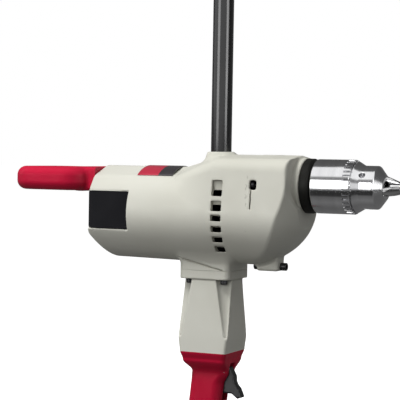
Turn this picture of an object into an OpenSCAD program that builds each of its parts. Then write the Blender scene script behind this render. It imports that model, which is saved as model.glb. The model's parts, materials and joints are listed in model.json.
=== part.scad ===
// Heavy-duty mixing drill: three-jaw chuck, three-stage gearing, spade handle,
// pipe side handle and a switch handle that hangs under the body.
// Lengths are in millimetres. Every shape is drawn about the spindle axis, with
// x = 0 on the axis of the switch handle, and in_frame() then moves the origin
// to the face of the chuck jaws.

/* [Body] */
// Height of the spindle axis over the motor axis
motor_drop = 40; // [38:0.5:41]
// Outer radius of the body round the motor
barrel_r = 62; // [61:0.5:64]
// Thickness of the cast walls
wall = 5; // [4:0.5:6]
// Station of the body's rear face
rear_x = -156; // [-158:1:-154]
// Station of the joint between body and gear case
seam_x = 70; // [69:0.5:71]

/* [Gears] */
// Module, pinion teeth and gear teeth of the first stage
stage_1 = [0.9, 12, 54];
// Module, pinion teeth and gear teeth of the second stage
stage_2 = [1.25, 12, 38];
// Module, pinion teeth and gear teeth of the third stage
stage_3 = [1.5, 12, 40];
// Sideways offset of the second idler from the spindle
idler_offset = -16; // [-18:0.5:-15]

/* [Chuck] */
// Station of the chuck's back
chuck_x = 142.5; // [142:0.5:143]
// Radius of the chuck sleeve
sleeve_r = 34; // [33.5:0.5:36]
// Radius of the chuck's nose
nose_r = 27; // [26:0.5:27]
// Station of the jaw face, where the row's origin lies
jaw_face_x = 251; // [250:0.5:254]
// Radius held between the jaws at rest
grip_r = 4.75; // [4:0.25:5]
// Slope of the jaws to the spindle axis, in degrees
jaw_slope = 12; // [12:0.5:12.5]

/* [Handles] */
// Length of the pipe handle over its boss
pipe_length = 390; // [250:10:500]
// Outer radius of the pipe
pipe_r = 13.35; // [12:0.05:14]
// Width of the spade handle
spade_width = 120; // [110:1:130]
// Station of the spade handle's far end
spade_x = -274; // [-285:1:-265]
// Level of the seam between handle adapter and grip
grip_z = -216; // [-220:1:-210]
// Length of the red grip under that seam
grip_length = 134; // [128:1:145]

/* [Hidden] */
$fn = 96;
eps = 0.01;
run_gap = 0.05;          // running clearance of a shaft in its bearing
motor_z = -motor_drop;
barrel_rear_r = barrel_r - 2.5;
bore_r = barrel_rear_r - wall;

// Level and slope of the cut under the rear end, and the flats at the sides of the rear end
cut_z = -67.5;
cut_angle = 58;
flat_z = [-61.5, -11];
flat_y = 52.2;
rear_bore_r = 49;
flat_end_x = -97;

// Shoulders and crown of the body's section, as [y, z, radius]
shoulder = [36, 14, 20];
crown_r = 38;
front_x = 108;           // flat front of the gear case beside the spindle boss
nose_x = [76, 136];      // middle and tip of the nose's arc under the boss
nose_z = -43;
nose_top = -36;
case_screw_spots = [[-49.8, 1], [49.8, 1]];
pocket_x = [seam_x + 3.5, seam_x + 13];  // pockets of the side screws
foot_x = [66, 95];
foot_w = 12;
foot_z = [-109, -92];
foot_bolt_z = -103.3;
boss_r = 35;
boss_x = 129.5;
collar_x = 141.5;
collar_r = 34.5;

// Gear train. Axes are [y, z] points seen along the spindle.
function pitch(m, teeth) = m * teeth / 2;
function spread(s) = pitch(s[0], s[1]) + pitch(s[0], s[2]);
spindle_axis = [0, 0];
armature_axis = [0, motor_z];
idler_2 = [idler_offset, -sqrt(pow(spread(stage_3), 2) - pow(idler_offset, 2))];
// The point at distance ra from a and rb from b, on the right of the way from a to b
function meet(a, ra, b, rb) =
  let (v = b - a, d = norm(v), u = v / d, k = (ra * ra - rb * rb + d * d) / (2 * d))
  a + k * u + sqrt(ra * ra - k * k) * [-u[1], u[0]];
idler_1 = meet(armature_axis, spread(stage_1), idler_2, spread(stage_2));
function bearing_of(a, b) = atan2(b[1] - a[1], b[0] - a[0]);

plate_x = [38, 46];      // gear plate
mesh_1 = [54, 62];
mesh_2 = [66, 75];
mesh_3 = [79, 93];
fan_x = [14, 31];
core_x = [-85, -25];
commutator_x = [-114, -97];

// Spindle stations and radii
spindle_tail_r = 9;
spindle_mid_r = 11;
spindle_front_r = 12.45;
thread_r = 9.5;
thread_end_x = 164;

// Chuck
sleeve_bore_r = 31.2;
nut_x = [176, 184.5];
sleeve_end_x = 194.5;
tooth_x = 187;           // back of the key teeth
nose_x0 = [194.8, 205];  // cone in front of the sleeve
nose_end_x = 223;
cone_end_x = 233;
jaw_r = 5.2;
jaw_centre = 5.4;        // distance of a jaw's axis from the spindle axis at the jaw face
jaw_tail_x = 174;
jaw_turn = 85;           // direction of the first jaw, from +y towards +z
key_hole_x = 208;

// Handles
pipe_x = 9;
boss_top_z = 41;
socket_z = 17;
set_screw_z = 36;
pad_z = -111;
adapter_x = [-31, 34];
adapter_w = 66;
grip_end_z = grip_z - grip_length;
grip_split_gap = 0.1;
spade_z = [-13, 18];
spade_wall = 28;

// Trigger
trigger_pin = [24, -241]; // [x, z]
trigger_w = 14;
lock_spot = [-3, -294];   // [x, z]

// ---------------------------------------------------------------- helpers

// Moves the origin from the handle axis to the jaw face.
module in_frame() { translate([-jaw_face_x, 0, 0]) children(); }

// Stands a flat (y, z) outline up so that it is extruded along +x from x0 to x1.
module slab(x0, x1) {
  translate([x0, 0, 0]) rotate([90, 0, 90]) linear_extrude(x1 - x0) children();
}

// A round bar along x, straight or tapered.
module rod(x0, x1, r, r2 = 0, at = [0, 0]) {
  translate([x0, at[0], at[1]]) rotate([0, 90, 0])
    cylinder(r1 = r, r2 = r2 > 0 ? r2 : r, h = x1 - x0);
}

// A ring round x.
module ring(x0, x1, r_out, r_in, at = [0, 0]) {
  difference() {
    rod(x0, x1, r_out, at = at);
    rod(x0 - 1, x1 + 1, r_in, at = at);
  }
}

// A bar along y.
module cross_rod(y0, y1, r, x, z) {
  translate([x, y0, z]) rotate([-90, 0, 0]) cylinder(r = r, h = y1 - y0);
}

// A box given by its low and high corner.
module block(low, high) { translate(low) cube(high - low); }

// A flat rounded rectangle with true corner arcs.
module rounded(low, high, r) {
  translate([low[0] + r, low[1]]) square([high[0] - low[0] - 2 * r, high[1] - low[1]]);
  translate([low[0], low[1] + r]) square([high[0] - low[0], high[1] - low[1] - 2 * r]);
  for (x = [low[0] + r, high[0] - r], y = [low[1] + r, high[1] - r]) translate([x, y]) circle(r = r);
}

// Both signs of y, for what the two sides share.
module both_sides() {
  children();
  mirror([0, 1, 0]) children();
}

// ---------------------------------------------------------------- gears

// Involute flank: its angle off the tooth's centre line at radius r.
pressure = 25;
backlash = 0.16;
function involute(r, rb) = let (a = acos(min(1, rb / r))) tan(a) * 180 / PI - a;
function half_tooth(r, m, teeth) =
  let (rp = pitch(m, teeth), rb = rp * cos(pressure))
  90 / teeth - backlash / 4 / rp * 180 / PI + involute(rp, rb) - involute(max(r, rb), rb);
function gear_points(m, teeth) =
  let (rp = pitch(m, teeth), root = rp - 1.25 * m, tip = rp + 0.95 * m, rb = rp * cos(pressure),
       low = max(root + 0.1, rb), mid = (low + tip) / 2, radii = [root, low, mid, tip])
  [for (i = [0:teeth - 1], side = [-1, 1], k = [0:3])
    let (r = radii[side < 0 ? k : 3 - k], a = i * 360 / teeth + side * half_tooth(r, m, teeth))
    r * [cos(a), sin(a)]];

// A spur gear between two stations. turn is the direction of one tooth.
module spur(stage, teeth, x, at, turn, bore) {
  difference() {
    slab(x[0], x[1]) translate(at) rotate(turn) polygon(gear_points(stage[0], teeth));
    if (bore > 0) rod(x[0] - 1, x[1] + 1, bore, at = at);
  }
}

// Directions that put a tooth of the pinion in a gap of the gear.
function pinion_turn(a, b) = bearing_of(a, b);
function gear_turn(a, b, teeth) = bearing_of(b, a) + 180 / teeth;

// ---------------------------------------------------------------- castings

// The body's section: the motor barrel, two shoulders and a crown over the spindle.
module body_section(inset = 0) {
  hull() {
    translate([0, motor_z]) circle(r = barrel_r - inset, $fn = 64);
    for (s = [-1, 1]) translate([s * shoulder[0], shoulder[1]]) circle(r = shoulder[2] - inset, $fn = 32);
    circle(r = crown_r - inset, $fn = 32);
  }
}

vent_levels = [-4.7, -27, -42, -56, -69, -81.5];
vent_heights = [20, 13, 8.5, 8, 7.5, 8];

module vents() {
  for (i = [0:5])
    block([23, -barrel_r - 5, vent_levels[i] - vent_heights[i] / 2],
          [37, -34, vent_levels[i] + vent_heights[i] / 2]);
}

// Keeps what is over the sloping cut under the body's rear end.
module over_rear_cut(inset) {
  intersection() {
    children();
    translate([rear_x, 0, cut_z + inset / cos(cut_angle)]) rotate([0, cut_angle, 0])
      translate([-300, -100, 0]) cube([600, 200, 400]);
  }
}

module motor_housing() {
  color("#c9c9bf") difference() {
    union() {
      difference() {
        union() {
          over_rear_cut(0) rod(rear_x, -4, barrel_rear_r, barrel_r - 0.2, at = armature_axis);
          slab(-10, seam_x) body_section();
          // Pad for the switch handle
          block([-33, -33, pad_z], [37, 33, -80]);
          block([foot_x[0], -foot_w, foot_z[0]], [seam_x, foot_w, foot_z[1]]);
        }
        rod(flat_end_x + 2, 0, bore_r, at = armature_axis);
        over_rear_cut(wall) rod(rear_x - 1, flat_end_x + 3, rear_bore_r, at = armature_axis);
        // Flats of the two name plates
        both_sides() block([rear_x - 1, -barrel_r - 5, flat_z[0]], [flat_end_x, -flat_y, flat_z[1]]);
        slab(-5, seam_x + 1) body_section(wall);
      }
      // Socket of the pipe handle
      translate([pipe_x, 0, 12]) cylinder(r = 18.5, h = boss_top_z - 12);
      // Ledge behind the gear plate
      difference() {
        slab(34, plate_x[0] - eps) body_section(wall - 1);
        slab(33, plate_x[0] + 1) body_section(wall + 4);
      }
      for (p = case_screw_spots) rod(50, seam_x, 7.4, at = p);
      block([56, -8, -99], [seam_x, 8, -93]);
      for (p = cap_screw_spots) rod(rear_x + wall, rear_x + 20, 7.5, at = p);
      // Seats of the four adapter screws
      for (x = [-22, 26], y = [-22, 22]) translate([x, y, pad_z + eps]) cylinder(r = 6, h = 19);
    }
    translate([pipe_x, 0, socket_z]) cylinder(r = pipe_r, h = 40);
    rod(pipe_x - 30, pipe_x + 30, 2.45, at = [0, set_screw_z]);
    both_sides() vents();
    // Wire passage to the handle
    translate([0, 0, pad_z - 1]) cylinder(r = 9, h = 30);
    for (x = [-22, 26], y = [-22, 22]) translate([x, y, pad_z - 1]) cylinder(r = 2.5, h = 17);
    rod(50, seam_x + 1, 2.6, at = [0, foot_bolt_z]);
    rod(58, foot_x[0], 5.6, at = [0, foot_bolt_z]);
    for (p = case_screw_spots) rod(51, seam_x + 1, 2.4, at = p);
    for (p = cap_screw_spots) rod(rear_x, rear_x + 18, 2.15, at = p);
  }
}

// Outside of the gear case, or its cavity when inset by the wall: the body's section, rounded
// off in side view to a nose that reaches forward under the spindle boss, and in plan.
module case_shape(x0, inset) {
  intersection() {
    slab(x0, nose_x[1] + 1) body_section(inset);
    translate([0, 90, 0]) rotate([90, 0, 0]) linear_extrude(180) case_side(inset);
    translate([nose_x[0] - 33, 0, -130]) cylinder(r = 93 - inset, h = 200);
  }
}

// Side view of the gear case, as [x, z].
module case_side(inset) {
  translate([60, nose_z]) square([front_x - inset - 60, 110]);
  translate([60, -130]) square([nose_x[0] - 60, 130 + nose_top - inset]);
  intersection() {
    translate([nose_x[0], nose_z]) circle(r = nose_x[1] - nose_x[0] - inset);
    translate([60, -130]) square([90, 130 + nose_top - inset]);
  }
}

module gear_case() {
  color("#c4c4ba") difference() {
    union() {
      difference() {
        union() {
          case_shape(seam_x, 0);
          rod(front_x - 8, boss_x, boss_r);
          // Foot under the nose
          block([seam_x, -foot_w, foot_z[0]], [foot_x[1], foot_w, foot_z[1]]);
        }
        case_shape(seam_x - 1, wall);
      }
      // Seats of the front bearing and of the second idler's bush
      rod(97, front_x, boss_r - 2);
      rod(97, 120, 11.5, at = idler_2);
      intersection() {
        rod(84, 140, 11, at = idler_1);
        translate([0, 90, 0]) rotate([90, 0, 0]) linear_extrude(180) case_side(1);
      }
      for (p = case_screw_spots) rod(seam_x, pocket_x[1] + 4, 7.4, at = p);
    }
    rod(96, 112, 26);
    rod(100, boss_x + 1, 20);
    rod(83, 92, 7.5, at = idler_1);
    rod(96, 106, 8, at = idler_2);
    // Screw holes, and pockets that open to the sides for the key
    for (p = case_screw_spots) {
      rod(seam_x - 1, pocket_x[0] + 1, 2.4, at = p);
      rod(pocket_x[0], pocket_x[1], 5.5, at = p);
      block([pocket_x[0], p[0] < 0 ? -80 : p[0], p[1] - 5.5],
            [pocket_x[1], p[0] < 0 ? p[0] : 80, p[1] + 5.5]);
    }
    rod(seam_x - 1, foot_x[1] + 1, 2.6, at = [0, foot_bolt_z]);
    rod(foot_x[1], foot_x[1] + 12, 5.6, at = [0, foot_bolt_z]);
  }
}

module gear_plate() {
  color("#8f9092") difference() {
    union() {
      slab(plate_x[0], plate_x[1]) body_section(wall + 0.3);
      rod(32, 44, 20, at = armature_axis);
      rod(plate_x[0] + 1, 58, 18);
      rod(plate_x[0] + 1, 53, 10.5, at = idler_1);
      rod(plate_x[0] + 1, 53, 9.6, at = idler_2);
    }
    rod(31, 43, 16, at = armature_axis);
    rod(40, 60, 8, at = armature_axis);
    rod(45, 59, 13);
    rod(45, 54, 7.5, at = idler_1);
    rod(46, 54, 8, at = idler_2);
  }
}

module rear_cap() {
  color("#b9b9b0") difference() {
    union() {
      over_rear_cut(wall + 0.3) rod(rear_x + 0.2, rear_x + wall, rear_bore_r - 0.3, at = armature_axis);
      rod(rear_x + 2, -136, 15, at = armature_axis);
    }
    rod(-145, -135, 11, at = armature_axis);
    for (a = [0:30:330]) translate([0, 0, motor_z]) rotate([a, 0, 0])
      block([rear_x - 1, 20, -2.5], [rear_x + wall + 1, 32, 2.5]);
    for (p = cap_screw_spots) rod(rear_x - 1, rear_x + wall + 1, 2.2, at = p);
    for (p = spade_screw_spots) rod(rear_x - 1, rear_x + wall + 1, 2.55, at = p);
  }
}

cap_screw_spots = [for (a = [30, 150, 193, 347]) armature_axis + 42 * [cos(a), sin(a)]];

module rear_cap_screws() {
  color("#3a3a3c") for (p = cap_screw_spots) {
    rod(rear_x - 2.2, rear_x, 4.2, at = p);
    rod(rear_x - eps, rear_x + 12, 2.1, at = p);
  }
}

module fan_baffle() {
  color("#2d2d2f") difference() {
    rod(7, 10, 51.5, at = armature_axis);
    rod(6, 11, 30, at = armature_axis);
  }
}

module nameplate() {
  color("#1d1d20") both_sides()
    block([rear_x + 0.5, -flat_y - 1, flat_z[0] + 1], [flat_end_x - 0.5, -flat_y, flat_z[1] - 1]);
}

module badge() {
  color("#8c1a26") intersection() {
    difference() {
      rod(-96, -41, barrel_rear_r + 1.9, barrel_rear_r + 2.6, at = armature_axis);
      rod(-97, -40, barrel_rear_r + 1.05, barrel_rear_r + 1.95, at = armature_axis);
    }
    block([-93, -37, 8], [-43, 37, 30]);
  }
}

// ---------------------------------------------------------------- handles

module spade_handle() {
  color("#c2202f") difference() {
    union() {
      translate([0, 0, spade_z[0]]) linear_extrude(spade_z[1] - spade_z[0]) difference() {
        rounded([spade_x, -spade_width / 2], [-166, spade_width / 2], 30);
        rounded([spade_x + spade_wall, -spade_width / 2 + 24], [-190, spade_width / 2 - 24], 6);
      }
      translate([0, 0, spade_z[0]]) linear_extrude(spade_z[1] - spade_z[0])
        rounded([-190, -37], [rear_x, 37], 6);
    }
    for (p = spade_screw_spots) {
      rod(rear_x - 40, rear_x + 1, 2.6, at = p);
      rod(rear_x - 60, rear_x - 14, 5, at = p);
    }
  }
}

spade_screw_spots = [for (y = [-26, 26]) [y, -4.5]];

module spade_screws() {
  color("#3a3a3c") for (p = spade_screw_spots) {
    rod(rear_x - 18, rear_x - 14, 4.6, at = p);
    rod(rear_x - 14 - eps, rear_x + wall - 1, 2.5, at = p);
  }
}

module pipe_handle() {
  color("#141416") translate([pipe_x, 0, socket_z]) difference() {
    cylinder(r = pipe_r - 0.02, h = boss_top_z - socket_z + pipe_length);
    translate([0, 0, -1]) cylinder(r = pipe_r - 2.9, h = boss_top_z + pipe_length + 10);
  }
}

module pipe_cap() {
  color("#1b1b1d") translate([pipe_x, 0, boss_top_z + pipe_length]) {
    cylinder(r = pipe_r - 0.6, h = 4);
    translate([0, 0, -16]) cylinder(r = pipe_r - 2.95, h = 16 + eps);
  }
}

module pipe_set_screws() {
  color("#2a2a2c") for (s = [-1, 1]) translate([pipe_x, 0, 0]) mirror([s < 0 ? 1 : 0, 0, 0])
    rod(pipe_r, 19.5, 2.42, at = [0, set_screw_z]);
}

// Rounded rectangular slice of the adapter or the grip at level z.
module slice(z, x0, x1, w, r, h = 0.5) {
  translate([0, 0, z]) linear_extrude(h) rounded([x0, -w / 2], [x1, w / 2], r, $fn = 24);
}

module handle_adapter() {
  color("#b4b4aa") difference() {
    union() {
      hull() {
        slice(grip_z, adapter_x[0], adapter_x[1], adapter_w, 6);
        slice(grip_z + 20, adapter_x[0] - 2, adapter_x[1] + 2, adapter_w, 6);
        slice(-122, adapter_x[0], adapter_x[1] + 1, 63, 6);
      }
      hull() {
        slice(-122.5, -32, 36, 65, 8);
        slice(pad_z - 0.5, -33, 37, 66, 8);
      }
    }
    translate([0, 0, grip_z - 1]) cylinder(r = 12, h = 120);
    block([-18, -16, grip_z - 1], [20, 16, grip_z + 60]);
    for (x = [-22, 26], y = [-22, 22]) {
      translate([x, y, -140]) cylinder(r = 2.7, h = 40);
      translate([x, y, -132]) cylinder(r = 5.2, h = 9);
      // Flutes that taper down the corners from the screw heads
      translate([x < 0 ? adapter_x[0] : adapter_x[1], sign(y) * adapter_w / 2, -197])
        cylinder(r1 = 1, r2 = 16, h = 75);
    }
  }
}

module adapter_screws() {
  color("#303032") for (x = [-22, 26], y = [-22, 22]) {
    translate([x, y, -128]) cylinder(r = 4.6, h = 5);
    translate([x, y, -123 - eps]) cylinder(r = 2.45, h = 24);
  }
}

module grip_shape(inset) {
  hull() {
    slice(grip_z - 12, adapter_x[0] + inset, adapter_x[1] - inset, adapter_w - 2 * inset, 6);
    slice(grip_z - 0.5, adapter_x[0] + inset, adapter_x[1] - inset, adapter_w - 2 * inset, 6);
  }
  hull() {
    slice(grip_z - 12, adapter_x[0] + inset, adapter_x[1] - inset, adapter_w - 2 * inset, 6);
    slice(grip_z - 24, -22 + inset, 24 - inset, 38 - 2 * inset, 13);
  }
  hull() {
    slice(grip_z - 24, -22 + inset, 24 - inset, 38 - 2 * inset, 13);
    slice(grip_end_z, -34 + inset, 12 - inset, 40 - 2 * inset, 13);
  }
}

module grip_half(s) {
  color("#b81f2e") difference() {
    intersection() {
      grip_shape(0);
      block([-60, s < 0 ? -50 : grip_split_gap, grip_end_z - 10], [60, s < 0 ? 0 : 50, grip_z + 10]);
    }
    // Room for the switch, its wires and the trigger's travel
    block([-16, -12, grip_end_z + 22], [13, 12, grip_z + 1]);
    block([8, -trigger_w / 2 - 0.6, -279], [60, trigger_w / 2 + 0.6, -231]);
    cross_rod(-17, 17, 2.05, trigger_pin[0], trigger_pin[1]);
    cross_rod(-40, -8, 5.3, lock_spot[0], lock_spot[1]);
    translate([-11, 0, grip_end_z - 1]) cylinder(r = 7, h = 40);
    for (p = grip_screw_spots) {
      cross_rod(-30, 30, 1.8, p[0], p[1]);
      cross_rod(12, 40, 3.6, p[0], p[1]);
    }
  }
}

grip_screw_spots = [[-22, -222], [25, -222], [-22, -300], [4, -336], [-27, -340]];
grip_screw_heads = 15.5;

module grip_left() { grip_half(-1); }
module grip_right() { grip_half(1); }

module grip_screws() {
  color("#8a8a8c") for (p = grip_screw_spots) {
    cross_rod(12, grip_screw_heads, 3.4, p[0], p[1]);
    cross_rod(-10, 12 + eps, 1.7, p[0], p[1]);
  }
}

module cord_gland() {
  color("#161618") translate([-11, 0, 0]) difference() {
    union() {
      translate([0, 0, grip_end_z]) cylinder(r = 6.9, h = 16);
      translate([0, 0, grip_end_z - 4]) cylinder(r = 9, h = 4);
    }
    translate([0, 0, grip_end_z - 5]) cylinder(r = 4.2, h = 30);
  }
}

module switch_body() {
  color("#262628") block([-15, -10.5, -283], [10.5, 10.5, -232]);
}

// Side view of the trigger, with its concave finger face.
module trigger_side() {
  difference() {
    polygon([[19, -236], [28.5, -236], [34, -246], [46, -274], [40, -276], [32, -270], [15, -270],
             [15, -246]]);
    translate([49, -251]) circle(r = 14);
  }
}

module trigger() {
  color("#101012") difference() {
    translate([0, trigger_w / 2, 0]) rotate([90, 0, 0]) linear_extrude(trigger_w) trigger_side();
    cross_rod(-20, 20, 2.1, trigger_pin[0], trigger_pin[1]);
    cross_rod(-3.5, 3.5, 3.8, trigger_pin[0], trigger_pin[1]);
  }
}

module trigger_pin_rod() {
  color("#9a9a9c") cross_rod(-16, 16, 2.02, trigger_pin[0], trigger_pin[1]);
}

// Torsion spring, coiled round the trigger's pin.
module trigger_spring() {
  color("#a8a8aa") difference() {
    cross_rod(-3, 3, 3.2, trigger_pin[0], trigger_pin[1]);
    cross_rod(-4, 4, 2.3, trigger_pin[0], trigger_pin[1]);
  }
}

module lock_button() {
  color("#18181a") cross_rod(-23, -12.5, 5, lock_spot[0], lock_spot[1]);
}

// ---------------------------------------------------------------- fasteners

module case_screws() {
  color("#242426") for (p = case_screw_spots) {
    rod(pocket_x[0], pocket_x[0] + 5, 4.4, at = p);
    rod(52, pocket_x[0] + eps, 2.35, at = p);
  }
}

module foot_bolts() {
  color("#1c1c1e") {
    rod(foot_x[1], foot_x[1] + 8, 5, at = [0, foot_bolt_z]);
    rod(foot_x[0] - eps, foot_x[1] + eps, 2.5, at = [0, foot_bolt_z]);
    rod(foot_x[0] - 7, foot_x[0], 5, at = [0, foot_bolt_z]);
  }
}

// ---------------------------------------------------------------- motor

module field_core() {
  color("#6b6b6f") difference() {
    rod(core_x[0] - 2, core_x[1] + 2, bore_r - 0.4, at = armature_axis);
    rod(core_x[0] - 5, core_x[1] + 5, 27.8, at = armature_axis);
    for (s = [-1, 1]) translate([0, 0, motor_z])
      block([core_x[0] - 5, s < 0 ? -44 : 18, -22], [core_x[1] + 5, s < 0 ? -18 : 44, 22]);
    for (z = [-34, 34]) rod(core_x[0] - 5, core_x[1] + 5, 2.3, at = [0, motor_z + z * 1.3]);
  }
}

module field_coils() {
  color("#9a5a2c") for (s = [-1, 1]) translate([0, 0, motor_z]) difference() {
    block([core_x[0] - 12, s < 0 ? -43.5 : 29, -21.5], [core_x[1] + 12, s < 0 ? -29 : 43.5, 21.5]);
    block([core_x[0] + 6, s < 0 ? -50 : 20, -8], [core_x[1] - 6, s < 0 ? -20 : 50, 8]);
  }
}

module field_screws() {
  color("#8a8a8c") for (z = [-34, 34]) {
    rod(core_x[0] - 6, core_x[0] - 2, 4.4, at = [0, motor_z + z * 1.3]);
    rod(core_x[0] - 2 - eps, core_x[1] + 12, 2.2, at = [0, motor_z + z * 1.3]);
  }
}

brush_x = (commutator_x[0] + commutator_x[1]) / 2;

module brush_holders() {
  color("#b58a3c") both_sides() translate([brush_x, 0, motor_z]) difference() {
    block([-7, 20, -6], [7, 47.5, 6]);
    block([-4.1, 19, -3.1], [4.1, 46, 3.1]);
  }
}

module brushes() {
  color("#2b2b2d") both_sides() translate([brush_x, 0, motor_z]) block([-4, 17.6, -3], [4, 34, 3]);
}

module brush_springs() {
  color("#a8a8aa") both_sides() translate([brush_x, 0, motor_z]) rotate([-90, 0, 0])
    translate([0, 0, 34.1]) difference() {
      cylinder(r = 2.8, h = 11.8);
      translate([0, 0, -1]) cylinder(r = 2.1, h = 18);
    }
}

module armature_shaft() {
  color("#a9abad") {
    rod(-145, -136, 4, at = armature_axis);
    rod(-136 - eps, 32.5, 6, at = armature_axis);
    rod(32.5 - eps, 51, 5.95, at = armature_axis);
    spur(stage_1, stage_1[1], [51 - eps, mesh_1[1] + 1.5], armature_axis,
         pinion_turn(armature_axis, idler_1), 0);
  }
}

module armature_core() { color("#6b6b6f") ring(core_x[0], core_x[1], 27, 6, armature_axis); }

module armature_windings() {
  color("#a45f2c") {
    ring(core_x[1], core_x[1] + 12, 23, 6, armature_axis);
    ring(core_x[0] - 11, core_x[0], 23, 6, armature_axis);
  }
}

module commutator() {
  color("#b87333") difference() {
    ring(commutator_x[0], commutator_x[1], 17, 6, armature_axis);
    for (a = [0:15:345]) translate([0, 0, motor_z]) rotate([a, 0, 0])
      block([commutator_x[0] - 1, 16, -0.25], [commutator_x[1] - 3, 18, 0.25]);
  }
}

module fan() {
  color("#3c3c40") {
    ring(fan_x[0], fan_x[0] + 3, 48, 6, armature_axis);
    ring(fan_x[0], fan_x[1], 12, 6, armature_axis);
    for (a = [0:30:330]) translate([0, 0, motor_z]) rotate([a, 0, 0])
      block([fan_x[0] + 2.9, 11.5, -1], [fan_x[1] - 1, 47, 1]);
  }
}

module rear_bearing() { color("#b8b8ba") ring(-145, -137, 10.98, 4 + run_gap, armature_axis); }
module armature_bearing() { color("#b8b8ba") ring(33, 43, 15.98, 5.95 + run_gap, armature_axis); }

// ---------------------------------------------------------------- gear train

module idler_bushes() {
  color("#b08d4a") {
    ring(45, 53, 7.48, 4 + run_gap, idler_1);
    ring(84, 92, 7.48, 4 + run_gap, idler_1);
    ring(46, 53, 7.98, 5 + run_gap, idler_2);
    ring(97, 106, 7.98, 5 + run_gap, idler_2);
  }
}

module first_idler_gear() {
  color("#8d8f92") spur(stage_1, stage_1[2], mesh_1, idler_1,
                        gear_turn(armature_axis, idler_1, stage_1[2]), 6);
}

module first_idler_pinion() {
  color("#9b9da0") {
    rod(45.2, 53.4, 4, at = idler_1);
    rod(53.4 - eps, 62.4, 6, at = idler_1);
    spur(stage_2, stage_2[1], [62.4 - eps, 77], idler_1, pinion_turn(idler_1, idler_2), 0);
    rod(77 - eps, 83.5, 5.5, at = idler_1);
    rod(83.5 - eps, 91.5, 4, at = idler_1);
  }
}

module second_idler_gear() {
  color("#8d8f92") spur(stage_2, stage_2[2], mesh_2, idler_2,
                        gear_turn(idler_1, idler_2, stage_2[2]), 7);
}

module second_idler_pinion() {
  color("#9b9da0") {
    rod(46.2, 53.4, 5, at = idler_2);
    rod(53.4 - eps, 65, 4.6, at = idler_2);
    rod(65 - eps, 76, 7, at = idler_2);
    spur(stage_3, stage_3[1], [76 - eps, 95], idler_2, pinion_turn(idler_2, spindle_axis), 0);
    rod(95 - eps, 105.5, 5, at = idler_2);
  }
}

module spindle_gear() {
  color("#8d8f92") difference() {
    spur(stage_3, stage_3[2], mesh_3, spindle_axis,
         gear_turn(idler_2, spindle_axis, stage_3[2]), spindle_mid_r);
    block([mesh_3[0] - 1, -2, spindle_mid_r - 2], [mesh_3[1] + 1, 2, spindle_mid_r + 2]);
  }
}

module gear_key() {
  color("#7c7e80") block([mesh_3[0], -1.98, spindle_mid_r - 1.98], [mesh_3[1], 1.98, spindle_mid_r + 1.98]);
}

module spindle() {
  color("#a4a6a8") difference() {
    union() {
      rod(46.5, 60, spindle_tail_r);
      rod(60 - eps, 95.5, spindle_mid_r);
      rod(95.5 - eps, chuck_x + 0.5, spindle_front_r);
      rod(chuck_x + 0.4, thread_end_x, thread_r);
    }
    block([mesh_3[0], -2, spindle_mid_r - 2], [mesh_3[1], 2, spindle_mid_r + 2]);
    rod(thread_end_x - 9, thread_end_x + 1, 3.2);
  }
}

module spindle_rear_bearing() { color("#b8b8ba") ring(46, 58, 12.98, spindle_tail_r + run_gap); }
module spindle_front_bearing() { color("#b8b8ba") ring(97, 112, 25.98, spindle_front_r + run_gap); }
module spindle_seal() { color("#222224") ring(boss_x - 6, boss_x - 0.5, 19.98, spindle_front_r + 0.1); }

module front_collar() {
  color("#101012") difference() {
    union() {
      rod(boss_x, collar_x - 3, collar_r);
      rod(collar_x - 3 - eps, collar_x, collar_r, collar_r - 3);
    }
    rod(boss_x - 1, collar_x + 1, 15);
  }
}

// ---------------------------------------------------------------- chuck

// Places what is drawn for a jaw whose radial direction is +z.
module at_jaw(k) { rotate([jaw_turn - 90 + k * 120, 0, 0]) children(); }

// The straight way of one jaw through the chuck.
module jaw_way(r, x0, x1) {
  back = jaw_face_x - x0;
  translate([x0, 0, jaw_centre + back * tan(jaw_slope)])
    rotate([0, 90 + jaw_slope, 0]) cylinder(r = r, h = (x1 - x0) / cos(jaw_slope));
}

module chuck_body() {
  color("#c4c6c8") difference() {
    union() {
      rod(chuck_x + 1, nut_x[0] - 0.4, sleeve_bore_r - 0.5);
      rod(nut_x[0] - 1, nut_x[1] + 1, 22.5);
      rod(nut_x[1] + 0.4, nose_x0[0], sleeve_bore_r - 0.5);
      rod(nose_x0[0] - eps, nose_x0[1], sleeve_r - 1, nose_r);
      rod(nose_x0[1] - eps, nose_end_x, nose_r);
      rod(nose_end_x - eps, cone_end_x, nose_r, 14.5);
    }
    rod(chuck_x, thread_end_x + 0.2, thread_r + 0.02);
    rod(thread_end_x - 1, 178, 4);
    rod(176, cone_end_x + 1, 9.8);
    for (k = [0:2]) {
      at_jaw(k) jaw_way(jaw_r + 0.1, 157, 262);
      rotate([jaw_turn - 90 + 60 + k * 120, 0, 0])
        translate([key_hole_x, 0, 14]) cylinder(r = 3.8, h = 20);
    }
  }
}

module chuck_screw() {
  color("#3a3a3c") {
    rod(thread_end_x - 8.5, 171, 3.1);
    rod(171 - eps, 174.5, 3.6);
  }
}

// The key's teeth are cut into the sleeve's front end.
key_teeth = 36;
module chuck_sleeve() {
  color("#c8cacc") difference() {
    union() {
      rod(chuck_x, chuck_x + 2, sleeve_r - 1.5, sleeve_r);
      rod(chuck_x + 2 - eps, sleeve_end_x, sleeve_r);
    }
    rod(chuck_x - 1, sleeve_end_x + 1, sleeve_bore_r);
    for (i = [0:key_teeth - 1]) rotate([i * 360 / key_teeth, 0, 0])
      block([tooth_x, -1.3, sleeve_r - 1.6], [sleeve_end_x + 1, 1.3, sleeve_r + 1]);
  }
}

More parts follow.
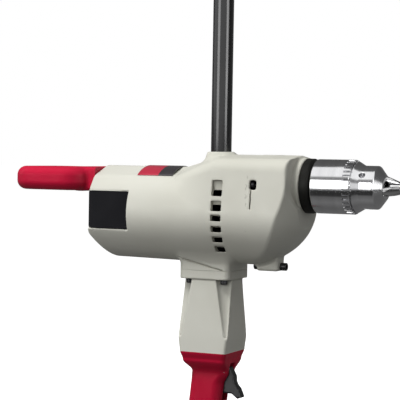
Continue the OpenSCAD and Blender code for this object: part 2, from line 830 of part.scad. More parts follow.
module chuck_nut() {
  reach = jaw_r / cos(jaw_slope) + 0.15;
  color("#a8aaac") difference() {
    rod(nut_x[0], nut_x[1], sleeve_bore_r - 0.02);
    rod(nut_x[0] - 1, nut_x[1] + 1, jaw_centre + reach + (jaw_face_x - nut_x[0] + 1) * tan(jaw_slope),
        jaw_centre + reach + (jaw_face_x - nut_x[1] - 1) * tan(jaw_slope));
  }
}

// A jaw is a sloped round bar, pointed to a 120 degree wedge that grips along the spindle axis.
module jaw(k) {
  wedge_tip = grip_r - 2.5 + 0.12;
  color("#d0d2d4") at_jaw(k) difference() {
    intersection() {
      jaw_way(jaw_r, jaw_tail_x, jaw_face_x + 8);
      rod(jaw_tail_x - 5, jaw_face_x, 40, 7.5);
      translate([0, 0, wedge_tip]) slab(jaw_tail_x - 5, jaw_face_x)
        polygon([[0, 0], [60 * sin(60), 60 * cos(60)], [0, 60], [-60 * sin(60), 60 * cos(60)]]);
    }
    rod(jaw_tail_x - 10, jaw_face_x + 1, grip_r);
  }
}

module jaw_1() { jaw(0); }
module jaw_2() { jaw(1); }
module jaw_3() { jaw(2); }

// ---------------------------------------------------------------- nodes

in_frame() motor_housing();
in_frame() gear_case();
in_frame() gear_plate();
in_frame() rear_cap();
in_frame() fan_baffle();
in_frame() nameplate();
in_frame() badge();
in_frame() spade_handle();
in_frame() spade_screws();
in_frame() pipe_handle();
in_frame() pipe_cap();
in_frame() pipe_set_screws();
in_frame() handle_adapter();
in_frame() adapter_screws();
in_frame() grip_left();
in_frame() grip_right();
in_frame() grip_screws();
in_frame() cord_gland();
in_frame() switch_body();
in_frame() trigger();
in_frame() trigger_pin_rod();
in_frame() trigger_spring();
in_frame() lock_button();
in_frame() case_screws();
in_frame() foot_bolts();
in_frame() rear_cap_screws();
in_frame() field_core();
in_frame() field_coils();
in_frame() field_screws();
in_frame() brush_holders();
in_frame() brushes();
in_frame() brush_springs();
in_frame() rear_bearing();
in_frame() armature_bearing();
in_frame() idler_bushes();
in_frame() spindle_rear_bearing();
in_frame() spindle_front_bearing();
in_frame() spindle_seal();
in_frame() front_collar();
in_frame() armature_shaft();
in_frame() armature_core();
in_frame() armature_windings();
in_frame() commutator();
in_frame() fan();
in_frame() first_idler_gear();
in_frame() first_idler_pinion();
in_frame() second_idler_gear();
in_frame() second_idler_pinion();
in_frame() spindle();
in_frame() spindle_gear();
in_frame() gear_key();
in_frame() chuck_body();
in_frame() chuck_screw();
in_frame() chuck_sleeve();
in_frame() chuck_nut();
in_frame() jaw_1();
in_frame() jaw_2();
in_frame() jaw_3();
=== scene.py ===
"""Looks of a spade-handle mixing drill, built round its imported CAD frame.

Lengths in the shape functions are millimetres in the drill's own design frame: x runs along the
spindle with 0 on the axis of the switch handle, y to the far side and z up from the spindle axis.
place() turns them into the frame's metres.
"""

import json
import math

import bmesh
import bpy
import numpy as np
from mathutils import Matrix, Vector


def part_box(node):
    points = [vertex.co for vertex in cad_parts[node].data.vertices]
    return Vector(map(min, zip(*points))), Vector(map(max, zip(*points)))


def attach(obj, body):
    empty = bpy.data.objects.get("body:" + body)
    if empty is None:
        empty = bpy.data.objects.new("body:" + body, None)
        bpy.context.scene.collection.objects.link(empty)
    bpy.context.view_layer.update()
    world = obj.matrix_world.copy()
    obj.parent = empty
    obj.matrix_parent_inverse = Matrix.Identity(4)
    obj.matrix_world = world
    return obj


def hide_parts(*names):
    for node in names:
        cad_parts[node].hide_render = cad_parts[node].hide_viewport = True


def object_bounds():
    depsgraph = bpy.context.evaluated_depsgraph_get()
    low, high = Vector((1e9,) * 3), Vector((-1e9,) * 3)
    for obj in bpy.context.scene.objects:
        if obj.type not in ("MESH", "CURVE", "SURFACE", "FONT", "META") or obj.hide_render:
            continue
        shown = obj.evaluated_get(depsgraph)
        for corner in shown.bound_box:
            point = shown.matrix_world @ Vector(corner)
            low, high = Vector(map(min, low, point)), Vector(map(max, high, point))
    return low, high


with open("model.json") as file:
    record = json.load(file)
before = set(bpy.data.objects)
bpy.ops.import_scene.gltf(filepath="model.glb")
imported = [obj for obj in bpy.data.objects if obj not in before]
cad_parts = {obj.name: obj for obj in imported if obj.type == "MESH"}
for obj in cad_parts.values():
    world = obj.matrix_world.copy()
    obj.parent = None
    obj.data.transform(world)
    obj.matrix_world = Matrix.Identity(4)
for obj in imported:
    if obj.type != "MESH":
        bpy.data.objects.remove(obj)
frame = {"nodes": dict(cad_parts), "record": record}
CAD_LOW, CAD_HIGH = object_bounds()

# ---------------------------------------------------------------- sizes from the frame

MM = 0.001
PIPE_X = 9.0                     # station of the pipe handle's axis in the design frame
pipe_low, pipe_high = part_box("pipe_handle")
SHIFT = PIPE_X - (pipe_low.x + pipe_high.x) / 2 / MM


def design_box(node):
    """Low and high corner of a CAD node, in design millimetres."""
    low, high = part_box(node)
    return (np.array(low) / MM + (SHIFT, 0, 0), np.array(high) / MM + (SHIFT, 0, 0))


def place(points):
    """Design millimetres to the frame's metres."""
    return (np.asarray(points, float) - (SHIFT, 0, 0)) * MM


HOUSING_LOW, HOUSING_HIGH = design_box("motor_housing")
REAR_X, SEAM_X = HOUSING_LOW[0], HOUSING_HIGH[0]
BARREL_R = HOUSING_HIGH[1]
MOTOR_Z = -40.0
BARREL_REAR_R = BARREL_R - 2.5
BOSS_TOP_Z = HOUSING_HIGH[2]
SET_SCREW_Z = sum(corner[2] for corner in design_box("pipe_set_screws")) / 2
PAD_Z = design_box("handle_adapter")[1][2]
FLAT_Z = (-61.5, -11.0)
FLAT_Y = 52.2
FLAT_END_X = -97.0
SHELL = 4.0                      # wall of the two castings

COLLAR_LOW, COLLAR_HIGH = design_box("front_collar")
SLEEVE_LOW, SLEEVE_HIGH = design_box("chuck_sleeve")
SLEEVE_R = SLEEVE_HIGH[1]
NOSE_END_X = design_box("chuck_body")[1][0]
GRIP_LOW, GRIP_HIGH = design_box("grip_left")
SPADE_LOW, SPADE_HIGH = design_box("spade_handle")

# ---------------------------------------------------------------- distance fields


def round_max(a, b, r):
    """Both a and b, with their shared outer edge rounded to radius r."""
    u = np.maximum(a + r, 0)
    v = np.maximum(b + r, 0)
    return np.minimum(-r, np.maximum(a, b)) + np.sqrt(u * u + v * v)


def round_min(a, b, r):
    """Either a or b, with a fillet of radius r where they meet."""
    return -round_max(-a, -b, r)


def rectangle(u, v, low, high, r):
    """Distance to a flat rectangle with round corners; low and high may vary by point."""
    cu, cv = (low[0] + high[0]) / 2, (low[1] + high[1]) / 2
    qu = np.abs(u - cu) - (high[0] - low[0]) / 2 + r
    qv = np.abs(v - cv) - (high[1] - low[1]) / 2 + r
    outside = np.sqrt(np.maximum(qu, 0) ** 2 + np.maximum(qv, 0) ** 2)
    return outside + np.minimum(np.maximum(qu, qv), 0) - r


def polygon(u, v, corners):
    """Distance to a flat closed polygon."""
    best = np.full(np.shape(u), 1e9)
    inside = np.zeros(np.shape(u), bool)
    for (u0, v0), (u1, v1) in zip(corners, corners[1:] + corners[:1]):
        du, dv = u1 - u0, v1 - v0
        t = np.clip(((u - u0) * du + (v - v0) * dv) / (du * du + dv * dv), 0, 1)
        best = np.minimum(best, np.hypot(u - u0 - t * du, v - v0 - t * dv))
        if dv != 0:
            inside ^= ((v0 <= v) != (v1 <= v)) & (u < u0 + (v - v0) * du / dv)
    return np.where(inside, -best, best)


def turn_between(angle, low, high):
    """angle brought between low and high, the nearer end taken when it is outside them."""
    middle = (low + high) / 2
    away = (angle - middle + math.pi) % (2 * math.pi) - math.pi
    return middle + np.clip(away, low - middle, high - middle)


def hull_of_circles(u, v, circles):
    """Distance to the hull of circles (u, v, r), listed anticlockwise from down to up."""
    normals = [-math.pi / 2]
    for (u0, v0, r0), (u1, v1, r1) in zip(circles, circles[1:]):
        way = np.arctan2(v1 - v0, u1 - u0)
        gap = np.hypot(u1 - u0, v1 - v0)
        turn = np.arccos(np.clip((r0 - r1) / gap, -1, 1))
        normals.append((way - turn + math.pi / 2) % (2 * math.pi) - math.pi / 2)
    normals.append(math.pi / 2)
    best = None
    for (cu, cv, r), low, high in zip(circles, normals, normals[1:]):
        angle = np.arctan2(v - cv, u - cu)
        facing = turn_between(angle, low, np.maximum(low, high))
        d = np.hypot(u - cu, v - cv) * np.cos(angle - facing) - r
        best = d if best is None else np.maximum(best, d)
    return best


def ellipsoid(x, y, z, centre, radii):
    p = [(a - c) / r for a, c, r in zip((x, y, z), centre, radii)]
    q = [a / r for a, r in zip(p, radii)]
    k0 = np.sqrt(p[0] ** 2 + p[1] ** 2 + p[2] ** 2)
    k1 = np.sqrt(q[0] ** 2 + q[1] ** 2 + q[2] ** 2) + 1e-9
    return k0 * (k0 - 1) / k1


def block(x, y, z, low, high, r):
    """A box with every edge rounded."""
    flat = rectangle(x, y, low[:2], high[:2], r)
    middle, half = (low[2] + high[2]) / 2, (high[2] - low[2]) / 2
    return round_max(flat, np.abs(z - middle) - half, r)


def between(t, stations, values):
    """Value at t along a smooth run through the stations."""
    s = np.clip(t, stations[0], stations[-1])
    k = np.clip(np.searchsorted(stations, s, side="right") - 1, 0, len(stations) - 2)
    a = np.take(stations, k)
    f = (s - a) / (np.take(stations, k + 1) - a)
    f = f * f * (3 - 2 * f)
    return np.take(values, k) * (1 - f) + np.take(values, k + 1) * f


# ---------------------------------------------------------------- meshing

CORNERS = [(i, j, k) for i in (0, 1) for j in (0, 1) for k in (0, 1)]
EDGES = [(a, b) for a in CORNERS for b in CORNERS
         if sum(q - p for p, q in zip(a, b)) == 1 and all(q >= p for p, q in zip(a, b))]


def skin(field, low, high, step, planes=()):
    """Surface of field(x, y, z) = 0 as points and quads, found on a grid and then drawn onto the
    true surface. planes cuts it flat: (axis, level, side) keeps what lies on that side."""
    low = np.array(low, float) - 1.6 * step
    count = np.ceil((np.array(high, float) + 1.6 * step - low) / step).astype(int) + 1
    ticks = [low[i] + step * np.arange(count[i]) for i in range(3)]
    grid = [g.astype(np.float32) for g in np.meshgrid(*ticks, indexing="ij")]
    value = field(*grid)
    for axis, level, side in planes:
        value = np.maximum(value, side * (level - grid[axis]))
    inside = value < 0
    held = sum(inside[i:count[0] - 1 + i, j:count[1] - 1 + j, k:count[2] - 1 + k].astype(np.int8)
               for i, j, k in CORNERS)
    active = (held > 0) & (held < 8)
    number = np.full(active.shape, -1)
    number[active] = np.arange(active.sum())
    cells = np.argwhere(active)
    total, hits = np.zeros((len(cells), 3)), np.zeros(len(cells))
    for a, b in EDGES:
        va = value[tuple((cells + a).T)].astype(float)
        vb = value[tuple((cells + b).T)].astype(float)
        crosses = (va < 0) != (vb < 0)
        t = np.divide(va, va - vb, out=np.zeros_like(va), where=crosses)
        total[crosses] += (np.array(a) + t[:, None] * (np.array(b) - a))[crosses]
        hits[crosses] += 1
    points = low + step * (cells + total / hits[:, None])
    return drawn_on(field, points, step, planes), quads_of(inside, number, count)


def quads_of(inside, number, count):
    """One quad round every grid edge that crosses the surface, facing outwards."""
    found = []
    for axis in range(3):
        u, v = (axis + 1) % 3, (axis + 2) % 3
        first = [slice(None)] * 3
        second = [slice(None)] * 3
        first[axis], second[axis] = slice(0, -1), slice(1, None)
        a, b = inside[tuple(first)], inside[tuple(second)]
        at = np.argwhere(a != b)
        at = at[(at[:, u] > 0) & (at[:, v] > 0) & (at[:, u] < count[u] - 1) & (at[:,
                v] < count[v] - 1)]
        eu, ev = np.eye(3, dtype=int)[u], np.eye(3, dtype=int)[v]
        quad = np.stack([number[tuple((at - s * eu - t * ev).T)] for s,
                         t in ((1, 1), (0, 1), (0, 0), (1, 0))], 1)
        outward = a[tuple(at.T)]
        found.append(np.where(outward[:, None], quad, quad[:, ::-1]))
    return np.concatenate(found)


def drawn_on(field, points, step, planes):
    """Moves the points onto the field's surface, and those beside a cutting plane into it."""
    free = np.ones_like(points)
    for axis, level, _ in planes:
        near = np.abs(points[:, axis] - level) < 0.6 * step
        points[near, axis] = level
        free[near, axis] = 0
    on_plane = free.min(1) == 0
    free[on_plane & (np.abs(field(*points.T)) > 1.3 * step)] = 0
    h = 0.04 * step
    for _ in range(3):
        slope = np.stack([(field(*(points + h * e).T) - field(*(points - h * e).T)) / (2 * h)
                          for e in np.eye(3)], 1) * free
        move = -field(*points.T) / np.maximum((slope ** 2).sum(1), 0.1)
        points = points + np.clip(move, -0.6 * step, 0.6 * step)[:, None] * slope
    return points


def soften(profile, radius, steps=4):
    """Rounds the corners of an open run of (t, r) points."""
    points = [np.array(p, float) for p in profile]
    out = [points[0]]
    for before, corner, after in zip(points, points[1:], points[2:]):
        a, b = before - corner, after - corner
        la, lb = np.linalg.norm(a), np.linalg.norm(b)
        cut = min(radius, 0.45 * la, 0.45 * lb)
        start, end = corner + a / la * cut, corner + b / lb * cut
        for f in np.linspace(0, 1, steps + 1):
            out.append((1 - f) ** 2 * start + 2 * f * (1 - f) * corner + f * f * end)
    return out + [points[-1]]


def lathe(profile, turns=96, shape=None, closed=False):
    """Turns (t, r) points about the x axis. shape(ring, angle) scales a ring's radius by angle.
    A closed profile makes a hollow part; an open one starts and ends on the axis."""
    angle = np.arange(turns) * 2 * math.pi / turns
    points, faces, rings = [], [], []
    for ring, (t, r) in enumerate(profile):
        start = len(points)
        if r < 1e-6:
            points.append((t, 0, 0))
            rings.append([start] * turns)
            continue
        radius = r * (np.ones(turns) if shape is None else shape(ring, angle))
        points += [(t, radius[i] * math.cos(angle[i]), radius[i] * math.sin(angle[i]))
                   for i in range(turns)]
        rings.append(list(range(start, start + turns)))
    pairs = list(zip(rings, rings[1:])) + ([(rings[-1], rings[0])] if closed else [])
    for a, b in pairs:
        for i in range(turns):
            j = (i + 1) % turns
            face = list(dict.fromkeys((a[i], a[j], b[j], b[i])))
            if len(face) > 2:
                faces.append(face[::-1])
    return np.array(points, float), faces


AXES = {"x": np.eye(3), "-x": np.diag([-1, -1, 1]),
        "y": np.array([[0, 1, 0], [-1, 0, 0], [0, 0, 1]]),
        "-y": np.array([[0, -1, 0], [1, 0, 0], [0, 0, 1]]),
        "z": np.array([[0, 0, 1], [0, 1, 0], [-1, 0, 0]]),
        "-z": np.array([[0, 0, -1], [0, 1, 0], [1, 0, 0]])}


def aimed(part, axis, at=(0, 0, 0)):
    """Turns a part drawn along +x to another axis, and moves it."""
    points, faces = part
    return points @ AXES[axis] + np.array(at, float), faces


def joined(parts):
    """Several parts as one."""
    points, faces, start = [], [], 0
    for p, f in parts:
        points.append(p)
        faces += [[i + start for i in face] for face in f]
        start += len(p)
    return np.concatenate(points), faces


def piece(name, part, material, body, replaces=(), sharp=40, outward=False):
    """Makes a Blender object of a part, gives it its finish, and hangs it on its body."""
    points, faces = part
    mesh = bpy.data.meshes.new(name)
    mesh.from_pydata(place(points).tolist(), [], faces.tolist()
                     if isinstance(faces, np.ndarray) else faces)
    mesh.validate()
    made = bpy.data.objects.new(name, mesh)
    bpy.context.scene.collection.objects.link(made)
    if outward:
        face_outward(mesh)
    mesh.shade_smooth()
    mesh.set_sharp_from_angle(angle=math.radians(sharp))
    mesh.materials.append(material)
    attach(made, body)
    if replaces:
        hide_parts(*replaces)
    return made


def face_outward(mesh):
    work = bmesh.new()
    work.from_mesh(mesh)
    bmesh.ops.recalc_face_normals(work, faces=work.faces)
    work.to_mesh(mesh)
    work.free()


# ---------------------------------------------------------------- materials


class Finish:
    """A procedural material: a colour that drifts, a roughness that drifts, and a fine relief."""

    def __init__(self, name, metallic=0.0, coat=0.0, specular=0.5):
        self.material = bpy.data.materials.new(name)
        self.material.use_nodes = True
        self.tree = self.material.node_tree
        self.shader = self.tree.nodes["Principled BSDF"]
        self.shader.inputs["Metallic"].default_value = metallic
        self.shader.inputs["Coat Weight"].default_value = coat
        self.shader.inputs["Coat Roughness"].default_value = 0.08
        self.shader.inputs["Specular IOR Level"].default_value = specular
        self.place = self.node("ShaderNodeTexCoord").outputs["Object"]

    def node(self, kind, **values):
        made = self.tree.nodes.new(kind)
        for key, value in values.items():
            setattr(made, key, value)
        return made

    def link(self, a, b):
        self.tree.links.new(a, b)

    def noise(self, scale, detail=3.0, vector=None):
        made = self.node("ShaderNodeTexNoise")
        made.inputs["Scale"].default_value = scale
        made.inputs["Detail"].default_value = detail
        self.link(vector or self.place, made.inputs["Vector"])
        return made.outputs["Fac"]

    def spread(self, value, low, high, out_low, out_high):
        made = self.node("ShaderNodeMapRange")
        for key, number in zip(("From Min", "From Max", "To Min", "To Max"),
                               (low, high, out_low, out_high)):
            made.inputs[key].default_value = number
        self.link(value, made.inputs["Value"])
        return made.outputs["Result"]

    def mix(self, factor, a, b):
        """A colour between a and b, each an (r, g, b) or another node's output."""
        made = self.node("ShaderNodeMix", data_type="RGBA")
        self.link(factor, made.inputs["Factor"])
        for key, colour in ((6, a), (7, b)):
            if isinstance(colour, tuple):
                made.inputs[key].default_value = (*colour, 1)
            else:
                self.link(colour, made.inputs[key])
        return made.outputs[2]

    def colour(self, value):
        self.link(value, self.shader.inputs["Base Color"])

    def rough(self, value):
        self.link(value, self.shader.inputs["Roughness"])

    def relief(self, height, depth):
        """Bump of the given depth in metres."""
        made = self.node("ShaderNodeBump")
        made.inputs["Strength"].default_value = 1.0
        made.inputs["Distance"].default_value = depth
        self.link(height, made.inputs["Height"])
        self.link(made.outputs["Normal"], self.shader.inputs["Normal"])

    def round_axis(self):
        """Coordinates (x, distance from the spindle axis), which make turning marks."""
        split = self.node("ShaderNodeSeparateXYZ")
        self.link(self.place, split.inputs[0])
        y2 = self.node("ShaderNodeMath", operation="MULTIPLY")
        self.link(split.outputs["Y"], y2.inputs[0])
        self.link(split.outputs["Y"], y2.inputs[1])
        z2 = self.node("ShaderNodeMath", operation="MULTIPLY_ADD")
        self.link(split.outputs["Z"], z2.inputs[0])
        self.link(split.outputs["Z"], z2.inputs[1])
        self.link(y2.outputs[0], z2.inputs[2])
        root = self.node("ShaderNodeMath", operation="SQRT")
        self.link(z2.outputs[0], root.inputs[0])
        joint = self.node("ShaderNodeCombineXYZ")
        self.link(split.outputs["X"], joint.inputs["X"])
        self.link(root.outputs[0], joint.inputs["Y"])
        return joint.outputs[0]


def plain_finish(name, dark, light, rough, metallic=0.0, coat=0.0, grain=900, depth=0.00002,
                 blotch=9, specular=0.5):
    """Paint, moulded plastic or cast metal: drifting colour and roughness over a fine grain."""
    f = Finish(name, metallic, coat, specular)
    f.colour(f.mix(f.spread(f.noise(blotch, 4), 0.35, 0.65, 0, 1), dark, light))
    f.rough(f.spread(f.noise(blotch * 5, 3), 0.3, 0.7, rough[0], rough[1]))
    f.relief(f.noise(grain, 2), depth)
    return f.material


def cast_paint():
    """Satin paint on a casting: orange peel, painted shade in hollows, painted highlight on edges.
    """
    f = Finish("cast_paint", specular=0.45)
    base = f.mix(f.spread(f.noise(7, 4), 0.35, 0.65, 0, 1), (0.545, 0.54, 0.475),
                 (0.60, 0.597, 0.535))
    bend = f.node("ShaderNodeNewGeometry").outputs["Pointiness"]
    # Painted shade: the colour darkens towards a dark grey where the surface is hollow (low
    # pointiness).
    painted_hollow_shade = f.mix(f.spread(bend, 0.497, 0.46, 0, 0.75), base, (0.30, 0.29, 0.25))
    # Painted highlight: the colour lightens towards a pale grey on sharp convex edges (high
    # pointiness).
    f.colour(f.mix(f.spread(bend, 0.56, 0.66, 0, 0.25), painted_hollow_shade, (0.68, 0.68, 0.63)))
    f.rough(f.spread(f.noise(60, 3), 0.3, 0.7, 0.38, 0.52))
    f.relief(f.noise(420, 2), 0.00006)
    return f.material


def turned_steel(name, dark, light, rough, marks=1500, depth=0.000012):
    """Turned steel with fine marks round its axis."""
    f = Finish(name, metallic=1.0)
    round_way = f.round_axis()
    f.colour(f.mix(f.spread(f.noise(60, 2, round_way), 0.35, 0.65, 0, 1), dark, light))
    f.rough(f.spread(f.noise(marks / 3, 2, round_way), 0.3, 0.7, rough[0], rough[1]))
    f.relief(f.noise(marks, 2, round_way), depth)
    return f.material


def striped(name, metallic, dark, light, rough, pitch, direction="X", depth=0.0002):
    """Stacked sheets or wound wire: one ridge per pitch, in metres."""
    f = Finish(name, metallic)
    wave = f.node("ShaderNodeTexWave", wave_type="BANDS", bands_direction=direction)
    wave.inputs["Scale"].default_value = 1 / pitch / 20 * math.pi
    wave.inputs["Distortion"].default_value = 0.4
    f.link(f.place, wave.inputs["Vector"])
    f.colour(f.mix(wave.outputs["Fac"], dark, light))
    f.rough(f.spread(f.noise(80, 3), 0.3, 0.7, rough[0], rough[1]))
    f.relief(wave.outputs["Fac"], depth)
    return f.material


def badge_print(split_x):
    """Crimson field that ends at a slanting line before a dark one."""
    f = Finish("badge_print", coat=0.6)
    at = f.node("ShaderNodeSeparateXYZ")
    f.link(f.place, at.inputs[0])
    edge = f.spread(at.outputs["X"], split_x - 0.0004, split_x + 0.0004, 0, 1)
    red = f.mix(f.spread(f.noise(30, 3), 0.35, 0.65, 0, 1), (0.36, 0.012, 0.035),
                (0.46, 0.02, 0.05))
    dark = f.mix(f.spread(f.noise(30, 3), 0.35, 0.65, 0, 1), (0.02, 0.018, 0.02),
                 (0.035, 0.03, 0.034))
    f.colour(f.mix(edge, red, dark))
    f.rough(f.spread(f.noise(90, 3), 0.3, 0.7, 0.3, 0.42))
    f.relief(f.noise(1200, 2), 0.000008)
    return f.material


def studio_white(name):
    """Paper of the floor."""
    f = Finish(name, specular=0.0)
    f.colour(f.mix(f.noise(2, 2), (0.85, 0.85, 0.85), (0.88, 0.88, 0.88)))
    f.shader.inputs["Roughness"].default_value = 1.0
    f.shader.inputs["Emission Color"].default_value = (1, 1, 1, 1)
    f.shader.inputs["Emission Strength"].default_value = 0.62
    return f.material


FINISHES = {
    "cast_paint": cast_paint(),
    "cast_metal": plain_finish("cast_metal", (0.42, 0.42, 0.43), (0.55, 0.55, 0.56), (0.35, 0.5),
                               metallic=1.0, grain=500),
    "red_plastic": plain_finish("red_plastic", (0.43, 0.004, 0.030), (0.50, 0.006, 0.038),
                                (0.42, 0.52), specular=0.22,
                                grain=1400, depth=0.00002),
    "black_plastic": plain_finish("black_plastic", (0.012, 0.012, 0.013), (0.02, 0.02, 0.021),
                                  (0.32, 0.45), grain=1500),
    "label_black": plain_finish("label_black", (0.010, 0.010, 0.012), (0.018, 0.018, 0.02),
                                (0.75, 0.85), grain=2500,
                                depth=0.000008, specular=0.05),
    "collar_black": plain_finish("collar_black", (0.010, 0.010, 0.009), (0.018, 0.018, 0.016),
                                 (0.4, 0.5), grain=900,
                                 specular=0.12),
    "badge_red": badge_print(place((-63.0, 0, 0))[0]),
    "black_steel": plain_finish("black_steel", (0.014, 0.014, 0.016), (0.03, 0.03, 0.032),
                                (0.3, 0.45), metallic=0.4,
                                grain=1200),
    "black_enamel": plain_finish("black_enamel", (0.006, 0.006, 0.007), (0.010, 0.010, 0.011),
                                 (0.12, 0.2), coat=0.5,
                                 grain=300, depth=0.000012),
    "black_rubber": plain_finish("black_rubber", (0.012, 0.012, 0.012), (0.022, 0.022, 0.022),
                                 (0.6, 0.75), grain=1800),
    "steel": turned_steel("steel", (0.46, 0.46, 0.47), (0.56, 0.56, 0.57), (0.25, 0.36)),
    "bright_steel": turned_steel("bright_steel", (0.60, 0.60, 0.61), (0.70, 0.70, 0.71),
                                 (0.10, 0.17)),
    "jaw_steel": turned_steel("jaw_steel", (0.46, 0.46, 0.46), (0.58, 0.58, 0.58), (0.2, 0.3)),
    "gear_steel": turned_steel("gear_steel", (0.34, 0.34, 0.35), (0.45, 0.45, 0.46), (0.3, 0.42)),
    "lamination": striped("lamination", 1.0, (0.13, 0.13, 0.135), (0.26, 0.26, 0.27), (0.4, 0.55),
                          0.0005),
    "copper": striped("copper", 0.6, (0.30, 0.11, 0.035), (0.60, 0.27, 0.11), (0.3, 0.42), 0.0008,
                      "DIAGONAL"),
    "brass": turned_steel("brass", (0.58, 0.42, 0.16), (0.68, 0.52, 0.24), (0.28, 0.4)),
    "bronze": turned_steel("bronze", (0.42, 0.27, 0.12), (0.55, 0.37, 0.18), (0.4, 0.55)),
    "carbon": plain_finish("carbon", (0.02, 0.02, 0.022), (0.035, 0.035, 0.037), (0.5, 0.6),
                           metallic=0.3),
}


def dress_cad_nodes():
    """Every CAD node gets the finish of its own material slot."""
    for row in frame["record"]["subparts"]:
        mesh = frame["nodes"][row["node"]].data
        mesh.materials.clear()
        mesh.materials.append(FINISHES[row["material_slot"]])


# ---------------------------------------------------------------- castings

SHOULDER = (36.0, 14.0, 20.0)    # y, z and radius of the shoulders over the full section
SHOULDER_START = (27.0, -8.0, 19.0)
CROWN_R = 38.0
CROWN_START_R = 21.0
GROW_X = (-37.0, 20.0)           # stations between which the shoulders grow out of the barrel
VENT_X = (23.0, 37.0)
VENT_LEVELS = (-4.7, -27, -42, -56, -69, -81.5)
VENT_HEIGHTS = (20, 13, 8.5, 8, 7.5, 8)
VENT_SLOPES = (5.4, 8.5, 15, 15, 15, 16)     # fall of each louvre's floor over its height
LUG_LOW, LUG_HIGH = (66, -12, -109), (95, 12, -92)
POCKET_X = (73.5, 83.0)


def barrel_radius(x):
    return BARREL_REAR_R + (BARREL_R - BARREL_REAR_R) * np.clip((x - REAR_X) / (0 - REAR_X), 0, 1)


def body_section(x, y, z):
    """The barrel round the motor, and the shoulders and crown that grow out of it."""
    f = np.clip((x - GROW_X[0]) / (GROW_X[1] - GROW_X[0]), 0, 1)
    barrel = (0 * x, MOTOR_Z + 0 * x, barrel_radius(x))
    side = [a + (b - a) * f for a, b in zip(SHOULDER_START, SHOULDER)]
    crown = (0 * x, 0 * x, CROWN_START_R + (CROWN_R - CROWN_START_R) * f)
    return hull_of_circles(np.abs(y), z, [barrel, side, crown])


def rear_cut(x, z):
    """The slope under the rear end."""
    turn = math.radians(58)
    return -(x - REAR_X) * math.sin(turn) - (z + 67.5) * math.cos(turn)


def housing_outside(x, y, z):
    body = body_section(x, y, z)
    body = round_max(body, REAR_X - x, 2)
    body = round_max(body, rear_cut(x, z), 1.2)
    pad = block(x, y, z, (-33, -33, PAD_Z), (37, 33, -80), 7)
    pad = np.where(z < PAD_Z + 8, np.maximum(rectangle(x, y, (-33, -33), (37, 33), 7), PAD_Z - z),
                   pad)
    body = round_min(body, pad, 9)
    crease = 0.97 * (z + 95) + 0.243 * (x + 33)
    away = np.maximum(np.maximum(-34 - x, x - 28), 32.2 - np.abs(y))
    body = round_max(body, 1.0 - np.hypot(crease, np.maximum(away, 0)), 0.4)
    body = round_min(body, block(x, y, z, LUG_LOW, LUG_HIGH, 3), 5)
    cone = (np.hypot(x - PIPE_X, y) - (17.5 + 0.35 * (BOSS_TOP_Z - z))) * 0.944
    boss = round_max(round_max(cone, z - BOSS_TOP_Z, 1.5), 6 - z, 1)
    return round_min(body, boss, 5)


def nose_shape(x, y, z):
    """The front of the gear case: round in plan and under the spindle, straighter over it."""
    wide = between(z, [-45.0, 10.0], [93.0, 118.0])
    tall = np.where(z > -30, 170.0, 74.0)
    nose = ellipsoid(x, y, z, (42, 0, -30), (93, wide, tall))
    return round_max(nose, x - between(z, [-60.0, -5.0], [140.0, 122.0]), 1.5)


def gear_case_outside(x, y, z):
    body = housing_outside(x, y, z)
    lug = block(x, y, z, LUG_LOW, LUG_HIGH, 3)
    body = round_min(round_max(body, nose_shape(x, y, z), 1.6), lug, 5)
    narrow = np.clip((x - 100) / (COLLAR_LOW[0] - 100), 0, 1)
    reach = np.hypot(y * (0.9 + 0.06 * narrow), z)
    neck = round_max(reach - 36.5 + 1.5 * narrow, x - COLLAR_LOW[0], 1.5)
    body = round_min(body, neck, 3)
    for side in (-1, 1):
        pocket = block(x, side * y, z, (POCKET_X[0], 43, -5.5), (POCKET_X[1], 90, 6.5), 3)
        body = round_max(body, -pocket, 1.2)
        groove = rectangle(x, z, (75.2, -30), (76.8, -4), 0.7)
        body = round_max(body, -np.maximum(groove, 55.5 - side * y), 0.5)
    return body


def vent_slots(x, z, outside):
    """Six slots whose floors slope inwards like louvres, open only at their lower edges."""
    cuts = []
    for level, height, slope in zip(VENT_LEVELS, VENT_HEIGHTS, VENT_SLOPES):
        slot = rectangle(x, z, (VENT_X[0], level - height / 2), (VENT_X[1], level + height / 2),
                         1.4)
        floor_depth = 2.8 + slope * np.clip((level + height / 2 - z) / height, 0, 1)
        cuts.append(np.maximum(slot, -outside - floor_depth))
    return np.minimum.reduce(cuts)


def motor_housing():
    def field(x, y, z):
        shape = housing_outside(x, y, z)
        solid = shape
        flats = np.maximum.reduce([x - FLAT_END_X, FLAT_Y - np.abs(y), z - FLAT_Z[1],
                                   FLAT_Z[0] - z])
        solid = round_max(solid, -flats, 1.0)
        thicker = 3 * between(x, [14.0, 20.0, 40.0, 46.0], [0.0, 1.0, 1.0, 0.0])
        inner = np.maximum(body_section(x, y, z) + SHELL + thicker, -(x - REAR_X - SHELL))
        inner = np.maximum(inner, rear_cut(x, z) + SHELL)
        solid = np.maximum(solid, -inner)
        opening = np.maximum(np.hypot(y, z - MOTOR_Z) - 49, rear_cut(x, z) + 5)
        solid = np.maximum(solid, -np.maximum(opening, x - REAR_X - 12))
        slots = np.maximum(vent_slots(x, z, shape), 25 - np.abs(y))
        solid = round_max(solid, -slots, 0.6)
        solid = np.maximum(solid, -np.maximum(np.hypot(y, z - SET_SCREW_Z) - 3,
                                              14 - np.abs(x - PIPE_X)))
        return np.maximum(solid, -np.maximum(np.hypot(x - PIPE_X, y) - 13.4, 17 - z))

    low = (REAR_X, -BARREL_R, HOUSING_LOW[2])
    high = (SEAM_X, BARREL_R, BOSS_TOP_Z)
    part = skin(field, low, high, 1.3, [(0, SEAM_X, -1)])
    piece("motor_housing_skin", part, FINISHES["cast_paint"], "frame",
          ["motor_housing"])


